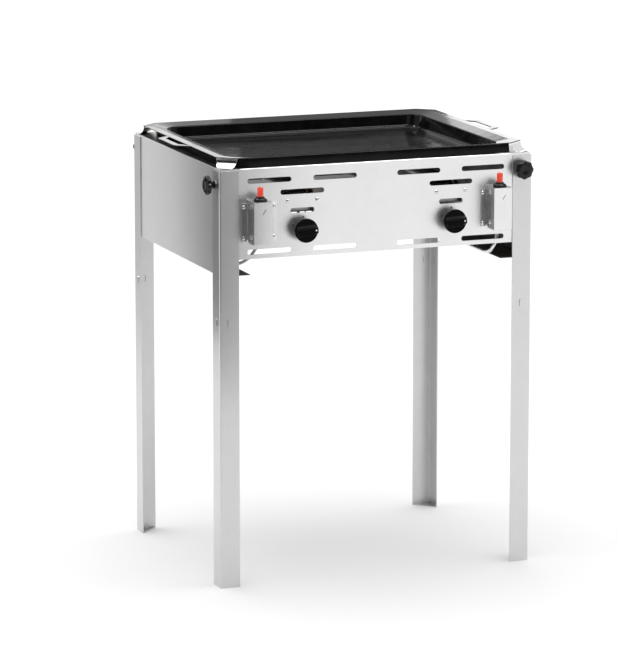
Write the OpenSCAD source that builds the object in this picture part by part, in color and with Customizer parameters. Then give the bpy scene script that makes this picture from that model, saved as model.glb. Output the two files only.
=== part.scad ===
// Portable gas grill: a folded sheet frame clamped on four angle legs, with two
// gas burners, their taps and push igniters, and a loose enamelled pan on top.
// Millimetres. The origin is on the floor under the middle of the frame,
// X to the right, Y to the back and Z up.

/* [Legs] */
// Width over the legs
frame_w = 650; // [640:5:670]
// Depth over the legs
frame_d = 520; // [510:5:530]
// Height of a leg
leg_h = 820; // [780:10:860]
// Width of one flange of a leg
leg_w = 40; // [38:1:42]
// Thickness of the leg sheet
leg_t = 2; // [1.5:0.5:2]
// Height of the embossed shelf stops, below the leg's top
stop_drop = 296; // [250:1:400]

/* [Frame panels] */
// Thickness of the panel sheet
panel_t = 1.5; // [1:0.5:1.5]
// Height of the panels' top above the legs' top
panel_rise = 3.5; // [2:0.5:5]
// Height of a side panel
side_h = 208; // [190:1:230]
// Width of a side panel's bottom lip
side_lip = 62; // [50:1:62]
// Width of a side panel's top lip
side_top_lip = 42; // [30:1:43]
// Height of the front and rear panels
front_h = 176.5; // [170:0.5:185]
// Width of the front and rear panels' top lip
front_lip = 14; // [8:1:16]
// Length of a long slot
slot_l = 90; // [70:1:100]
// Length of the short slot over a knob
slot_short = 50; // [40:1:60]
// Height of every slot
slot_h = 10; // [6:1:12]

/* [Burners and taps] */
// Distance of each burner, tap and knob from the middle
burner_x = 154.5; // [150:0.5:156]
// Height of the burner tubes' axis
burner_z = 745; // [743:1:748]
// Height of the tap spindles
tap_z = 699.7; // [699:0.1:700.5]
// Diameter of a gas knob
knob_d = 47; // [44:1:50]
// Diameter of a tap spindle
spindle_d = 8; // [8:8]
// How far a knob pushes in
push = 3; // [2:0.5:3]

/* [Igniters] */
// Distance of each igniter box from the middle
igniter_x = 248.5; // [247:0.5:249]
// Width of an igniter box
box_w = 38; // [36:1:40]
// Depth of an igniter box
box_d = 40; // [39:0.5:41]
// Diameter of an igniter button
button_d = 11.6; // [11:0.1:12]

/* [Clamping knobs] */
// Diameter of the clamping knob's head
star_d = 38; // [34:1:42]
// Drop of the clamping knobs below the leg's top
star_drop = 28; // [24:1:34]
// Diameter of the clamping studs
stud_d = 8; // [8:8]

/* [Pan] */
// Width over the pan's side flanges
pan_w = 634; // [630:1:640]
// Depth over the pan's front and rear rims
pan_d = 500; // [490:1:502]
// Height of the pan's rim above the floor
pan_top = 843; // [841:1:848]
// Height of the pan's floor
pan_floor = 808; // [804:1:812]
// Thickness of the pan
pan_t = 2; // [1.5:0.5:2.5]
// Length of a handle's outer band
handle_l = 104; // [90:1:120]
// Reach of a handle beyond the flange
handle_reach = 27; // [25:1:30]

/* [Hidden] */

$fn = 48;
steel = [0.80, 0.81, 0.82];
enamel = [0.06, 0.06, 0.07];
black = [0.03, 0.03, 0.03];
brass = [0.72, 0.58, 0.30];
slack = 0.05;                             // radial clearance of a running fit
bend_r = 2;                               // outside radius of a panel's folds
half_w = frame_w / 2;
half_d = frame_d / 2;
leg_bend = 3;                             // outside bend radius of a leg
clamp_in = 23;                            // clamping axis from the outside of the leg's corner
top_z = leg_h + panel_rise;               // top of the panels
star_z = leg_h - star_drop;
stop_z = leg_h - stop_drop;
side_x = half_w - leg_t;                  // outer face of a side panel
panel_x = side_x - 1;                     // end of the front and rear panels, clear of the legs' bends
face_y = half_d - leg_t;                  // outer face of the front panel
wall_y = face_y - panel_t;                // inner face of the front panel
end_flange = 10;                          // width of a side panel's end flanges
stud_r = stud_d / 2;
spindle_r = spindle_d / 2;
nut_t = 6.5;
washer_t = 1.6;
slot_x1 = 87;                             // slot centres in the upper and lower rows
slot_x2 = 222;
slot_top = leg_h - 21.5;                  // slot rows, downwards
slot_mid = leg_h - 46.5;
slot_sight = leg_h - 83.5;
slot_low = leg_h - 159.5;
bracket_dx = 30.3;                        // bracket screws, to each side of the tap
bracket_z = leg_h - 64;
box_top = leg_h - 57.5;
box_low = leg_h - 140;
box_fold = box_w / 2;
box_out = 12;                             // width of a box's left flange
box_in = [22, 15];                        // width of the right flange, left and right box
box_screw = [8, 16, 8];                   // screw to fold: left flange, right flange of each box
box_screw_z = [leg_h - 71, leg_h - 131];
button_y = -(face_y + 22);
button_top = leg_h - 30;
lead_hole = [240, 688];                   // where an ignition lead goes through the panel
tube_r = 4;
inlet = [250, 622];                       // X and Z of the gas inlet
reach_y = face_y + box_d;                 // the igniter boxes in front, the hose tail behind
mix_y = -214;                             // mouth of a burner's mixing tube
loop_y = [-140, 190];                     // front and rear tubes of a burner's loop
loop_x = 66;                              // half the loop's width between tube axes
loop_bend = 40;
loop_r = 12;
mix_r = 13;
probe_x = 45;                             // electrode and thermocouple, from the burner's middle
probe_y = -158;
plug_y = [-243.5, -209.5];                // ends of a tap plug
spindle_y = [-281, -226];                 // ends of a tap spindle
knob_y = [-292, -262.5];                  // crown and back of a gas knob
face_disc = -283.5;                       // face of its disc
knob_neck = 16;
grip_turn = 5;                            // lean of the grip in the off position
mark_r = 16.5;
outlet_y = -235;                          // tap outlet and injector inlet
rim_drop = 6;                             // fall of the pan's rim from its crest to its fold
rim_run = 24;                             // width of that slope
crest_r = 56;
flange_flat = 16;                         // flat part of a side flange
chamfer = [33, 28];                       // corner cut of the pan's flange, in X and in Y
skirt_end = 280;
rest_y = 140;                             // front edge of the bar under the burners
foot_top_w = 43;
foot_low_w = 33;

// ---------------------------------------------------------------- helpers

function unit(v) = v / norm(v);

// A smooth curve through the points of p, with n steps between two of them
function smooth(p, n = 4) = concat([for (i = [0:len(p) - 2], j = [0:n - 1])
    let (a = p[max(i - 1, 0)], b = p[i], c = p[i + 1], d = p[min(i + 2, len(p) - 1)], t = j / n)
    0.5 * (2 * b + (c - a) * t + (2 * a - 5 * b + 4 * c - d) * t * t
           + (3 * b - a - 3 * c + d) * t * t * t)], [p[len(p) - 1]]);

// A round tube of radius r along the points of p
module sweep(p, r, sides = 10) {
    last = len(p) - 1;
    t = [for (i = [0:last]) unit(p[min(i + 1, last)] - p[max(i - 1, 0)])];
    side0 = unit(cross(t[0], abs(t[0][2]) < 0.9 ? [0, 0, 1] : [1, 0, 0]));
    u = [for (i = 0, v = side0; i <= last;
              i = i + 1, v = i <= last ? unit(v - (v * t[i]) * t[i]) : v) v];
    ring = [for (i = [0:last], k = [0:sides - 1])
        let (w = cross(t[i], u[i]), a = 360 * k / sides) p[i] + r * (cos(a) * u[i] + sin(a) * w)];
    polyhedron(points = ring, faces = concat(
        [[for (k = [0:sides - 1]) k]],
        [for (i = [0:last - 1], k = [0:sides - 1])
            let (a = i * sides + k, b = i * sides + (k + 1) % sides) [a, a + sides, b + sides, b]],
        [[for (k = [sides - 1:-1:0]) last * sides + k]]), convexity = 6);
}

// A closed solid through rings that all have the same number of points
module loft(rings) {
    n = len(rings[0]);
    last = len(rings) - 1;
    polyhedron(points = [for (ring = rings, p = ring) p], faces = concat(
        [[for (k = [n - 1:-1:0]) k]],
        [for (i = [0:last - 1], k = [0:n - 1])
            let (a = i * n + k, b = i * n + (k + 1) % n) [a, b, b + n, a + n]],
        [[for (k = [0:n - 1]) last * n + k]]), convexity = 6);
}

// A cylinder along Y from y0 to y1
module rod_y(r, y0, y1, r2 = undef) {
    translate([0, y0, 0]) rotate([-90, 0, 0])
        cylinder(h = y1 - y0, r1 = r, r2 = is_undef(r2) ? r : r2);
}

// A hexagonal prism along Y, af across its flats
module hex_y(af, y0, y1) {
    translate([0, y0, 0]) rotate([-90, 0, 0]) cylinder(h = y1 - y0, r = af / sqrt(3), $fn = 6);
}

// A coil spring along +Z from z = 0, with its middle radius, wire and turns
module coil(r, wire, length, turns) {
    steps = 12 * turns;
    rise = length - 2 * wire;
    sweep([for (i = [0:steps]) [r * cos(30 * i), r * sin(30 * i), wire + rise * i / steps]], wire, 6);
}

// A slot with round ends, cut along X
module slot_2d(l, h) {
    square([l - h, h], center = true);
    for (s = [-1, 1]) translate([s * (l - h) / 2, 0]) circle(d = h);
}

// Puts its children at corner i: 0 front left, 1 front right, 2 rear right, 3 rear left.
// There the leg's flanges run along +X and +Y, and the clamping knob points along -X.
module corner(i) {
    sx = [-1, 1, 1, -1];
    sy = [-1, -1, 1, 1];
    translate([sx[i] * half_w, sy[i] * half_d, 0]) rotate(90 * i) children();
}

// Puts its children on the corner's clamping axis, with +Z pointing outwards
module clamp_axis(i) {
    corner(i) translate([0, clamp_in, star_z]) rotate([0, -90, 0]) children();
}

// ---------------------------------------------------------------- frame

module leg(i) {
    color(steel) corner(i) difference() {
        union() {
            linear_extrude(leg_h) {
                translate([leg_bend, 0]) square([leg_w - leg_bend, leg_t]);
                translate([0, leg_bend]) square([leg_t, leg_w - leg_bend]);
                intersection() {
                    translate([leg_bend, leg_bend]) difference() {
                        circle(leg_bend);
                        circle(leg_bend - leg_t);
                    }
                    square(leg_bend);
                }
            }
            translate([leg_w / 2, 0, stop_z]) stop(7);
            translate([0, leg_w / 2, stop_z]) rotate(-90) stop(7);
        }
        translate([leg_w / 2, leg_t, stop_z]) stop(4.6);
        translate([leg_t, leg_w / 2, stop_z]) rotate(-90) stop(4.6);
        translate([-1, clamp_in, star_z]) rotate([0, 90, 0]) cylinder(h = leg_t + 2, r = stud_r + 0.3);
    }
}

// The upright embossed bump that a lower shelf or a stacked frame stops against
module stop(w) {
    translate([0, leg_t / 2, 0]) rotate([90, 0, 0]) linear_extrude(leg_t / 2 + 1.5)
        rotate(90) slot_2d(w + 9, w);
}

module foot_plates() {
    color(steel) for (i = [0:3]) corner(i)
        linear_extrude(leg_t) polygon([[leg_t, leg_t], [leg_w, leg_t], [leg_t, leg_w]]);
}

// What a fold leaves off a square outer corner: along +Z, on its -X and -Y sides
module fold_off(l) {
    linear_extrude(l) difference() {
        translate([-bend_r, -bend_r]) square(bend_r + 1);
        translate([-bend_r, -bend_r]) circle(bend_r);
    }
}

module side_panel(s) {
    low = top_z - side_h;
    color(steel) mirror([s < 0 ? 1 : 0, 0, 0]) difference() {
        union() {
            translate([side_x - panel_t, -wall_y, low]) cube([panel_t, 2 * wall_y, side_h]);
            for (lip = [[side_lip, low], [side_top_lip, top_z - panel_t]])
                translate([side_x - lip[0], -wall_y, lip[1]]) cube([lip[0], 2 * wall_y, panel_t]);
            for (y = [-wall_y, wall_y - panel_t])
                translate([side_x - end_flange, y, low]) cube([end_flange, panel_t, side_h]);
        }
        translate([side_x + 1, s * (half_d - clamp_in), star_z]) rotate([0, -90, 0])
            cylinder(h = panel_t + 2, r = stud_r + 0.3);
        for (m = [0, 1]) {
            mirror([0, m, 0]) translate([side_x, wall_y, low - 1]) fold_off(side_h + 2);
            translate([side_x, wall_y + 1, m == 0 ? top_z : low]) mirror([0, 0, m]) rotate([90, 0, 0])
                fold_off(2 * wall_y + 2);
        }
    }
}

// Front and rear panels share one pressing: outer face at Y = -face_y
module panel_blank() {
    lip_x = side_x - side_top_lip;
    difference() {
        union() {
            translate([-panel_x, -face_y, top_z - front_h]) cube([2 * panel_x, panel_t, front_h]);
            translate([-lip_x, -wall_y, top_z - panel_t]) cube([2 * lip_x, front_lip, panel_t]);
        }
        translate([-lip_x, -face_y, top_z]) mirror([0, 1, 0]) rotate([90, 0, 90]) fold_off(2 * lip_x);
        for (x = [-slot_x2, -slot_x1, slot_x1, slot_x2], z = [slot_top, slot_low])
            panel_slot(x, z, slot_l);
        translate([half_w - clamp_in, 0, star_z]) rod_y(stud_r + 0.3, -face_y - 1, -wall_y + 1);
    }
}

module panel_slot(x, z, l) {
    translate([x, -wall_y + 1, z]) rotate([90, 0, 0]) linear_extrude(panel_t + 2) slot_2d(l, slot_h);
}

module panel_hole(x, z, r) {
    translate([x, 0, z]) rod_y(r, -face_y - 1, -wall_y + 1);
}

module front_panel() {
    color(steel) difference() {
        panel_blank();
        for (s = [0, 1]) {
            x = (2 * s - 1) * burner_x;
            panel_slot(x, slot_mid, slot_l);
            panel_slot(x, slot_sight, slot_short);
            panel_hole(x, tap_z, 8.2);
            for (d = [-1, 1]) panel_hole(x + d * bracket_dx, bracket_z, 2.1);
            for (hole = box_holes(s), z = box_screw_z) panel_hole(hole, z, 2.1);
            panel_hole((2 * s - 1) * lead_hole[0], lead_hole[1], 4);
        }
    }
}

module rear_panel() {
    color(steel) rotate(180) panel_blank();
}

// Weld nuts behind the panels, and everything else on the clamping axes
module weld_nuts() {
    color(steel) for (i = [0:3]) clamp_axis(i) translate([0, 0, -leg_t - panel_t - nut_t]) difference() {
        cylinder(h = nut_t, r = 13 / sqrt(3), $fn = 6);
        translate([0, 0, -1]) cylinder(h = nut_t + 2, r = stud_r + slack);
    }
}

module washer(i) {
    color(steel) clamp_axis(i) difference() {
        cylinder(h = washer_t, r = stud_d);
        translate([0, 0, -1]) cylinder(h = washer_t + 2, r = stud_r + 0.2);
    }
}

module stud(i) {
    color(steel) clamp_axis(i) translate([0, 0, -12]) cylinder(h = 26, r = stud_r);
}

// The lobed head with its hub
module star_knob(i) {
    lobes = 8;
    color(black) clamp_axis(i) difference() {
        union() {
            translate([0, 0, washer_t]) cylinder(h = 8, r = 7);
            translate([0, 0, 9.6]) cylinder(h = 2.4, r1 = 7, r2 = 13);
            translate([0, 0, 12]) linear_extrude(8) difference() {
                circle(d = star_d);
                for (k = [0:lobes - 1]) rotate(360 * (k + 0.5) / lobes)
                    translate([star_d / 2 + 20.4, 0]) circle(r = 22);
            }
            translate([0, 0, 20]) cylinder(h = 2, r1 = star_d / 2 - 3.4, r2 = star_d / 2 - 7);
        }
        translate([0, 0, -1]) cylinder(h = 15.02, r = stud_r + 0.02);
    }
}

// ---------------------------------------------------------------- pan

// A rounded rectangle of half sizes a and b, with corner radius r, at height z
function round_ring(a, b, r, z, n = 8) = [for (q = [0:3], j = [0:n])
    let (t = 90 * q + 90 * j / n, sx = q == 0 || q == 3 ? 1 : -1, sy = q < 2 ? 1 : -1)
    [sx * (a - r) + r * cos(t), sy * (b - r) + r * sin(t), z]];

// The flange's outline, with straight corner cuts, as points that match round_ring's
function cut_ring(a, b, c, z, n = 8) = [for (q = [0:3], j = [0:n])
    let (sx = q == 0 || q == 3 ? 1 : -1, sy = q < 2 ? 1 : -1,
         t = q == 0 || q == 2 ? j / n : 1 - j / n)
    [sx * (a - c[0] * t), sy * (b - c[1] * (1 - t)), z]];

module pan() {
    a = pan_w / 2;
    b = pan_d / 2;
    a1 = a - flange_flat;
    b1 = b - 1;
    a2 = a1 - rim_run;
    b2 = b1 - rim_run;
    fold_z = pan_top - rim_drop;
    r2 = crest_r - rim_run + 6;
    color(enamel) union() {
        loft([
            round_ring(a2 - 30, b2 - 30, r2 - 24, pan_floor),
            round_ring(a2 - 16, b2 - 16, r2 - 12, pan_floor + 0.8),
            round_ring(a2 - 9, b2 - 9, r2 - 6, pan_floor + 4.5),
            round_ring(a2 - 5, b2 - 5, r2 - 2, pan_floor + 12),
            round_ring(a2, b2, r2, fold_z),
            round_ring(a1, b1, crest_r, pan_top),
            cut_ring(a, b, chamfer, pan_top),
            cut_ring(a, b, chamfer, pan_top - 1.5),
            round_ring(a1, b1, crest_r, pan_top - pan_t),
            round_ring(a2 + pan_t, b2 + pan_t, r2 + pan_t, fold_z - pan_t),
            round_ring(a2 - 3, b2 - 3, r2, pan_floor + 11),
            round_ring(a2 - 7, b2 - 7, r2 - 4, pan_floor + 3),
            round_ring(a2 - 15, b2 - 15, r2 - 11, pan_floor - pan_t + 0.7),
            round_ring(a2 - 30, b2 - 30, r2 - 24, pan_floor - pan_t)
        ]);
        for (s = [0, 1]) {
            rotate(180 * s) skirt(b);
            rotate(180 * s) handle(a);
        }
    }
}

// The front rim's turned-down skirt, which ends just above the frame
module skirt(b) {
    translate([-skirt_end, 0, 0]) rotate([90, 0, 90]) linear_extrude(2 * skirt_end)
        polygon([[-b, pan_top], [-b - 2.5, top_z + 1.2],
                 [-b - 1, top_z + 1.2], [-b + 1.5, pan_top - 1.6]]);
}

// One handle: a band that leaves a finger slot between itself and the right flange
module handle(a) {
    root = handle_l / 2 + 20;
    tip = handle_l / 2;
    band = 13;
    translate([a, 0, pan_top - pan_t]) linear_extrude(pan_t) difference() {
        polygon([[-2, -root], [0, -root], [handle_reach, -tip],
                 [handle_reach, tip], [0, root], [-2, root]]);
        polygon([[0.5, band - root], [handle_reach - band, band - tip],
                 [handle_reach - band, tip - band], [0.5, root - band]]);
    }
}

// The concave corner feet, each on the middle of a corner cut and square to it
module pan_feet() {
    steps = 8;
    sheet = 1.3;
    drop = pan_top - 1.5 - top_z;
    flare = 18;
    way = atan2(chamfer[0], chamfer[1]);
    outer = [for (i = [0:steps]) let (t = 90 * i / steps)
        [flare * (1 - cos(t)), -(drop - sheet) * sin(t), foot_top_w / 2
            - (foot_top_w - foot_low_w) / 2 * i / steps]];
    inner = [for (i = [steps:-1:0]) let (t = 90 * i / steps)
        [flare * (1 - cos(t)) - sheet * cos(t), -(drop - sheet) * sin(t) - sheet * sin(t),
            foot_top_w / 2 - (foot_top_w - foot_low_w) / 2 * i / steps]];
    profile = concat(outer, inner);
    color(steel) for (mx = [-1, 1], my = [-1, 1])
        translate([mx * (pan_w / 2 - chamfer[0] / 2), my * (pan_d / 2 - chamfer[1] / 2), pan_top - 1.5])
            mirror([mx < 0 ? 1 : 0, 0, 0]) mirror([0, my < 0 ? 1 : 0, 0]) rotate(way)
                loft([for (s = [-1, 1]) [for (p = profile) [p[0], -s * p[2], p[1]]]]);
}

// ---------------------------------------------------------------- taps and knobs

// Puts its children on tap s (0 left, 1 right), with the spindle along Y
module at_tap(s) {
    translate([(2 * s - 1) * burner_x, 0, tap_z]) children();
}

// A tap's body; the right one also has the supply boss, on its outer side
module tap_body(s) {
    inner = 1 - 2 * s;
    color(brass) at_tap(s) difference() {
        union() {
            rod_y(8, -face_y - 3.5, -wall_y);
            rod_y(13, -wall_y, plug_y[1] + 4.5);
            translate([0, -225, 0]) rotate([0, 90 * inner, 0]) cylinder(h = 24, r = 7);
            if (s == 1) translate([0, -225, 0]) rotate([0, 90, 0]) cylinder(h = 24, r = 7);
            translate([0, outlet_y, 0]) cylinder(h = 18, r = 6);
        }
        rod_y(spindle_r + slack, -face_y - 4, -face_y);
        rod_y(6.6, -face_y - 1.5, plug_y[0]);
        rod_y(9 + slack, plug_y[0] - 0.5, plug_y[1] + 0.5);
        for (side = s == 1 ? [-1, 1] : [1])
            translate([side * 8, -225, 0]) rotate([0, 90 * side, 0]) {
                cylinder(h = 17, r = 2.5);
                translate([0, 0, 9]) cylinder(h = 8, r = tube_r + 0.02);
            }
        translate([0, outlet_y, 8]) cylinder(h = 11, r = 1.6);
        translate([0, outlet_y, 13]) cylinder(h = 6, r = 3.02);
    }
}

module tap_nuts() {
    color(brass) for (s = [0, 1]) at_tap(s) difference() {
        hex_y(22, -face_y - 3, -face_y);
        rod_y(8 + slack, -face_y - 4, -face_y + 1);
    }
}

// The rotor that opens the gas way, bored for the sliding spindle
module tap_plug(s) {
    color(brass) at_tap(s) difference() {
        rod_y(9, plug_y[0], plug_y[1]);
        rod_y(spindle_r + slack, plug_y[0] - 1, spindle_y[1] + push + 2);
        translate([0, -225, 0]) rotate([0, 90, 0]) cylinder(h = 24, r = 1.6, center = true);
        translate([0, outlet_y, 0]) cylinder(h = 10, r = 1.2);
    }
}

// A flat on the spindle's outer end drives it from the knob
module spindle(s) {
    color(steel) at_tap(s) difference() {
        union() {
            rod_y(spindle_r, spindle_y[0], spindle_y[1]);
            rod_y(6.2, -face_y - 0.5, -face_y + 1);
        }
        translate([-5, -282, 2.8]) cube([10, 12, 3]);
    }
}

module tap_spring(s) {
    start = -face_y + 1;
    color(steel) at_tap(s) translate([0, start, 0]) rotate([-90, 0, 0])
        coil(5.2, 0.55, plug_y[0] - start, 5);
}

// Puts its children on tap s, turned with the grip of its knob
module at_grip(s) {
    at_tap(s) rotate([0, -grip_turn, 0]) children();
}

// A disc with a raised grip, on a hollow neck with a bored boss for the spindle
module gas_knob(s) {
    r = knob_d / 2;
    color(black) difference() {
        union() {
            at_tap(s) {
                rod_y(knob_neck, -272, knob_y[1]);
                rod_y(r, -279, -272, knob_neck);
                rod_y(r, face_disc + 1, -279);
                rod_y(r - 1.5, face_disc, face_disc + 1, r);
            }
            at_grip(s) intersection() {
                rod_y(r - 2, knob_y[0], face_disc + 2);
                translate([-r, 0, 0]) rotate([90, 0, 90]) linear_extrude(2 * r) polygon([
                    [face_disc + 2, -12.4], [-288, -6.5], [knob_y[0], -4.6],
                    [knob_y[0], 4.6], [-288, 6.5], [face_disc + 2, 12.4]]);
            }
        }
        at_tap(s) difference() {
            rod_y(knob_neck - 2.5, -271, knob_y[1] + 0.5);
            rod_y(7, -272, -266);
        }
        at_tap(s) difference() {
            rod_y(spindle_r + 0.02, spindle_y[0] - 0.02, -265);
            translate([-5, -283, 2.82]) cube([10, 13, 3]);
        }
        at_grip(s) translate([mark_r, 0, 0]) rod_y(1.62, knob_y[0] - 1, knob_y[0] + 0.8);
    }
}

module knob_mark(s) {
    color("white") at_grip(s) translate([mark_r, 0, 0]) rod_y(1.6, knob_y[0] - 0.1, knob_y[0] + 0.8);
}

// ---------------------------------------------------------------- burners

// Puts its children at burner s (0 left, 1 right), on its axis
module at_burner(s) {
    translate([(2 * s - 1) * burner_x, 0, burner_z]) children();
}

// The loop of tube with radius r
module loop(r) {
    y0 = loop_y[0] + loop_bend;
    y1 = loop_y[1] - loop_bend;
    x = loop_x - loop_bend;
    for (m = [-1, 1]) translate([m * loop_x, 0, 0]) rod_y(r, y0, y1);
    for (y = loop_y) translate([-x, y, 0]) rotate([0, 90, 0]) cylinder(h = 2 * x, r = r);
    for (q = [0:3])
        translate([(q == 0 || q == 3 ? 1 : -1) * x, q < 2 ? y1 : y0, 0]) rotate(90 * q)
            rotate_extrude(angle = 90) translate([loop_bend, 0]) circle(r);
}

// A mixing tube that feeds a loop, with two tabs in front for the electrode and the probe
module burner(s) {
    wall = 1.2;
    color(steel) at_burner(s) difference() {
        union() {
            loop(loop_r);
            rod_y(mix_r, mix_y + 8, loop_y[0]);
            rod_y(mix_r + 4, mix_y, mix_y + 8, mix_r);
            for (m = [-1, 1]) translate([m * probe_x - 7, probe_y - 6, -4]) cube([14, 10, 1.5]);
        }
        loop(loop_r - wall);
        rod_y(mix_r - wall, mix_y + 8, loop_y[0]);
        rod_y(mix_r + 4 - wall, mix_y - 0.01, mix_y + 8, mix_r - wall);
        for (m = [-1, 1]) translate([m * probe_x, probe_y, -5]) cylinder(h = 4, r = 3.55);
    }
}

// A folded bracket on the panel that carries the mixing tube and the injector
module burner_bracket(s) {
    x = 24;
    front = -wall_y;
    back = -200;
    low = burner_z - 14;
    high = bracket_z + 7;
    tall = high - low;
    sheet = 1.5;
    color(steel) translate([(2 * s - 1) * burner_x, 0, 0]) difference() {
        union() {
            for (m = [-1, 1]) {
                translate([m * x - sheet / 2, front, low]) cube([sheet, back - front, tall]);
                translate([m > 0 ? x - sheet / 2 : -x - 14, front, bracket_z - 7])
                    cube([14 + sheet / 2, sheet, 14]);
            }
            translate([-x, back - sheet, low]) cube([2 * x, sheet, tall]);
            translate([-x, -242, low]) cube([2 * x, sheet, tall - 14]);
        }
        translate([0, 0, burner_z]) rod_y(mix_r + slack, back - 3, back + 1);
        for (m = [-1, 1]) translate([m * bracket_dx, 0, bracket_z])
            rod_y(2.03, front - 1, front + 3);
    }
}

module bracket_screws() {
    color(steel) for (s = [-1, 1], d = [-1, 1])
        translate([s * burner_x + d * bracket_dx, 0, bracket_z]) pan_screw(face_y, 6);
}

// A pan-head screw from the front, with its head on the plane Y = -y
module pan_screw(y, l) {
    rod_y(2, -y, -y + l);
    difference() {
        rod_y(2.6, -y - 2.2, -y, 3.6);
        for (a = [0, 90]) rotate([0, a, 0]) translate([-2, -y - 3, -0.35]) cube([4, 1.8, 0.7]);
    }
}

// The cross bar under the back of both burners
module burner_rest() {
    top = burner_z - loop_r;
    end = side_x - panel_t;
    depth = 20;
    color(steel) translate([-end, rest_y, 0]) {
        translate([0, 0, top - panel_t]) cube([2 * end, depth, panel_t]);
        translate([0, depth - panel_t, top - depth]) cube([2 * end, panel_t, depth - panel_t]);
    }
}

module injector(s) {
    color(brass) at_burner(s) difference() {
        union() {
            translate([-7, -240.5, -7]) cube([14, 13, 14]);
            hex_y(10, -227.5, -223);
            rod_y(3.6, -223, -219, 2);
        }
        rod_y(0.6, -235, -218);
        translate([0, outlet_y, -8]) cylinder(h = 9, r = 1.6);
        translate([0, outlet_y, -8]) cylinder(h = 6, r = 3.02);
    }
}

// ---------------------------------------------------------------- igniters

// Screw positions across the panel for box s, left flange then right flange
function box_holes(s) = let (x = (2 * s - 1) * igniter_x)
    [x - box_fold - box_screw[0], x + box_fold + box_screw[1 + s]];

module at_igniter(s) {
    translate([(2 * s - 1) * igniter_x, 0, 0]) children();
}

// A folded box with an open bottom, screwed to the panel by its two flanges
module igniter_box(s) {
    t = panel_t;
    front = -(face_y + box_d);
    seat = -face_y - t;
    color(steel) difference() {
        at_igniter(s) union() {
            translate([-box_fold, front, box_low]) cube([box_w, t, box_top - box_low]);
            for (m = [0, 1]) translate([m * (box_w - t) - box_fold, 0, 0]) rotate([90, 0, 90])
                linear_extrude(t) polygon([[front, box_low], [seat - 8, box_low], [seat, box_low + 6],
                                           [seat, box_top], [front, box_top]]);
            translate([-box_fold, front, box_top - t]) cube([box_w, box_d, t]);
            translate([-box_fold - box_out, seat, box_low + 1]) cube([box_out + t, t, 75]);
            translate([box_fold - t, seat, box_low + 1]) cube([box_in[s] + t, t, 75]);
        }
        for (x = box_holes(s), z = box_screw_z) translate([x, 0, z]) rod_y(2.1, seat - 1, seat + 3);
        at_igniter(s) translate([0, button_y, box_top - t - 1]) cylinder(h = t + 2, r = 8.1);
    }
}

module box_screws() {
    color(steel) for (s = [0, 1], x = box_holes(s), z = box_screw_z)
        translate([x, 0, z]) pan_screw(face_y + panel_t, 7);
}

module igniter_body(s) {
    color(black) at_igniter(s) translate([0, button_y, 0]) difference() {
        union() {
            translate([0, 0, 706]) cylinder(h = box_top - panel_t - 706, r = 9.5);
            translate([0, 0, box_top - panel_t]) cylinder(h = panel_t + 9, r = 8);
        }
        translate([0, 0, 715]) cylinder(h = 60, r = button_d / 2 + slack);
    }
}

module igniter_collars() {
    color(black) for (s = [0, 1]) at_igniter(s) translate([0, button_y, box_top]) difference() {
        union() {
            cylinder(h = 3.5, r = 13);
            translate([0, 0, 3.5]) cylinder(h = 3, r1 = 13, r2 = 9.6);
        }
        translate([0, 0, -1]) cylinder(h = 9, r = 8 + slack);
    }
}

module igniter_button(s) {
    r = button_d / 2;
    color([0.88, 0.25, 0.15]) at_igniter(s) translate([0, button_y, 0]) {
        translate([0, 0, 731]) cylinder(h = button_top - 1.6 - 731, r = r);
        translate([0, 0, button_top - 1.6]) cylinder(h = 1.6, r1 = r, r2 = r - 1.6);
    }
}

// Ceramic sleeves with a wire that bends over the burner
module electrodes() {
    color("white") for (s = [0, 1]) at_burner(s) translate([(2 * s - 1) * probe_x, probe_y, 0]) {
        translate([0, 0, -16]) cylinder(h = 26, r = 3.5);
        translate([0, 0, 10]) cylinder(h = 6, r = 1);
        translate([0, 0, 15]) rod_y(1, -1, 14);
    }
}

module ignition_leads() {
    end_x = burner_x + probe_x;
    end_z = burner_z - 16.5;
    start = [igniter_x, button_y];
    color([0.35, 0.35, 0.36]) {
        sweep(smooth([for (p = lead_route_left(start, end_x, end_z)) [-p[0], p[1], p[2]]], 3), 3, 8);
        sweep(smooth(lead_route_right(start, end_x, end_z), 3), 3, 8);
    }
}

// The left lead has more slack: it hangs in a loop below the front panel
function lead_route_left(start, end_x, end_z) = [
    [start[0], start[1], 705.5], [start[0], start[1], 698], [246, -272, 690], [lead_hole[0], -257.5, 688],
    [239, -247, 677], [246, -241, 661], [258, -238, 645], [278, -236, 636], [298, -222, 640],
    [304, -200, 655], [290, -182, 680], [250, -170, 700], [215, -160, 708],
    [end_x + 2, probe_y, 717], [end_x, probe_y, end_z - 5], [end_x, probe_y, end_z]];

function lead_route_right(start, end_x, end_z) = [
    [start[0], start[1], 705.5], [start[0], start[1], 698], [246, -272, 690], [lead_hole[0], -257.5, 688],
    [237, -250, 690], [229, -248, 703], [223, -236, 716], [216, -205, 722], [207, -175, 720],
    [end_x, probe_y + 2, 719], [end_x, probe_y, end_z - 5], [end_x, probe_y, end_z]];

// A probe beside the flame, and the capillary that runs from it to the tap's back
module thermocouples() {
    x = probe_x;
    z = burner_z - 10;
    color([0.72, 0.45, 0.30]) for (s = [0, 1]) at_burner(s) mirror([s, 0, 0]) {
        translate([x, probe_y, -10]) cylinder(h = 30, r = 2.5);
        translate([0, 0, -burner_z]) sweep(smooth([
            [x, probe_y, z], [x, probe_y, z - 10], [x - 4, probe_y - 3, z - 22],
            [x - 18, probe_y - 10, tap_z + 4], [8, probe_y - 18, tap_z],
            [1, probe_y - 32, tap_z], [0, plug_y[1] + 4.5, tap_z]], 4), 1.2, 6);
    }
}

// ---------------------------------------------------------------- gas supply

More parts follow.
